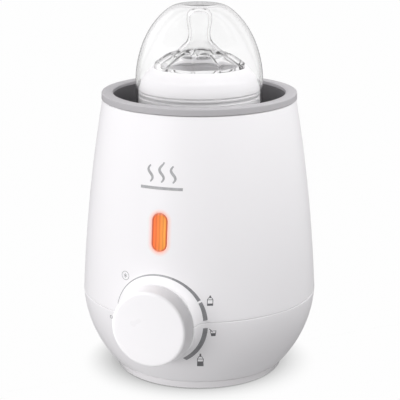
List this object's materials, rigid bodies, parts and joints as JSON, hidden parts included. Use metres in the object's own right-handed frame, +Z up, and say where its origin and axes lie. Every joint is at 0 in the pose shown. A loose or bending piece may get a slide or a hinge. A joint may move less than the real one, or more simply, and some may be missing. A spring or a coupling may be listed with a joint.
{
  "type": "bottle warmer",
  "caption": "Rounded white electric bottle warmer with a front dial, a lit window and a water cup holding a feeding bottle under a clear dome cap.",
  "frame": {"origin": "on the table, in the plane of the rubber foot ring, on the upright centre line of the casing and cup", "axes": "+Z up along the cup, -Y towards the knob and the indicator window, +X to the right seen from the front"},
  "size_m": [0.129, 0.1425, 0.2023],
  "materials": {
    "casing_white": "satin moulded white",
    "base_white": "gloss moulded white",
    "knob_white": "satin moulded white",
    "rim_grey": "satin grey",
    "cup_grey": "satin dark grey",
    "pointer_grey": "satin grey",
    "lens_orange": "clear amber, lit from behind",
    "led": "lit orange",
    "shroud_white": "matt white",
    "board_green": "solder mask",
    "resistor": "lacquered",
    "seal_silicone": "translucent silicone",
    "foot_rubber": "matt black",
    "gland_rubber": "matt light grey",
    "plate_steel": "brushed",
    "element_metal": "oxidised",
    "bracket_steel": "zinc plated",
    "screw_steel": "zinc plated",
    "copper": "drawn copper",
    "brass": "tinned brass",
    "switch_black": "phenolic",
    "inner_plastic": "natural nylon",
    "fuse_metal": "bright",
    "lead_brown": "PVC",
    "lead_blue": "PVC",
    "lead_white": "glass braid sleeve",
    "bottle_clear": "clear moulded",
    "silicone_clear": "clear silicone",
    "collar_white": "satin moulded white",
    "cap_clear": "clear moulded"
  },
  "bodies": {
    "warmer": {"upper_casing": "casing_white", "lower_casing": "casing_white", "base_cover": "base_white", "foot_ring": "foot_rubber", "casing_screws": "screw_steel", "rim_ring": "rim_grey", "cup_gasket": "seal_silicone", "water_cup": "cup_grey", "plate_seal": "seal_silicone", "heating_plate": "plate_steel", "heating_element": "element_metal", "heater_clamp": "bracket_steel", "heater_screws": "screw_steel", "thermal_fuse": "fuse_metal", "fuse_clip": "bracket_steel", "sensor_probe": "copper", "capillary_tube": "copper", "thermostat_body": "switch_black", "thermostat_cover": "switch_black", "thermostat_terminals": "brass", "thermostat_bracket": "bracket_steel", "thermostat_nut": "brass", "thermostat_screws": "screw_steel", "indicator_lens": "lens_orange", "lamp_shroud": "shroud_white", "lamp_board": "board_green", "indicator_leds": "led", "lamp_resistor": "resistor", "lamp_screws": "screw_steel", "cord_gland": "gland_rubber", "cord_clamp": "inner_plastic", "cord_clamp_screws": "screw_steel", "terminal_block": "inner_plastic", "terminal_screws": "brass", "live_lead": "lead_brown", "switched_lead": "lead_white", "neutral_lead": "lead_blue", "lamp_lead": "lead_white"},
    "knob": {"control_knob": "knob_white", "knob_pointer": "pointer_grey", "knob_clip": "bracket_steel", "thermostat_shaft": "plate_steel"},
    "adjuster": {"adjuster_nut": "brass"},
    "bottle": {"bottle_body": "bottle_clear"},
    "nipple": {"teat": "silicone_clear"},
    "collar": {"screw_ring": "collar_white"},
    "cap": {"dome_cap": "cap_clear"}
  },
  "joints": [
    {"name": "knob_turn", "type": "hinge", "parent": "warmer", "child": "knob", "pos_m": [0, -0.07, 0.0445], "axis": [0, 1, 0], "range_deg": [0, 247]},
    {"name": "adjuster_travel", "type": "slide", "parent": "warmer", "child": "adjuster", "axis": [0, -1, 0], "range_m": [0, 0.0007]},
    {"name": "bottle_lift", "type": "slide", "parent": "warmer", "child": "bottle", "axis": [0, 0, 1], "range_m": [0, 0.13]},
    {"name": "nipple_rise", "type": "slide", "parent": "bottle", "child": "nipple", "axis": [0, 0, 1], "range_m": [0, 0.0034]},
    {"name": "collar_turn", "type": "hinge", "parent": "nipple", "child": "collar", "pos_m": [0, 0, 0.157], "axis": [0, 0, 1], "range_deg": [0, 270]},
    {"name": "cap_lift", "type": "slide", "parent": "collar", "child": "cap", "axis": [0, 0, 1], "range_m": [0, 0.06]}
  ],
  "couplings": [
    {"joint": "adjuster_travel", "follows": "knob_turn", "m_per_rad": 0.00015915},
    {"joint": "nipple_rise", "follows": "collar_turn", "m_per_rad": 0.0007162}
  ]
}
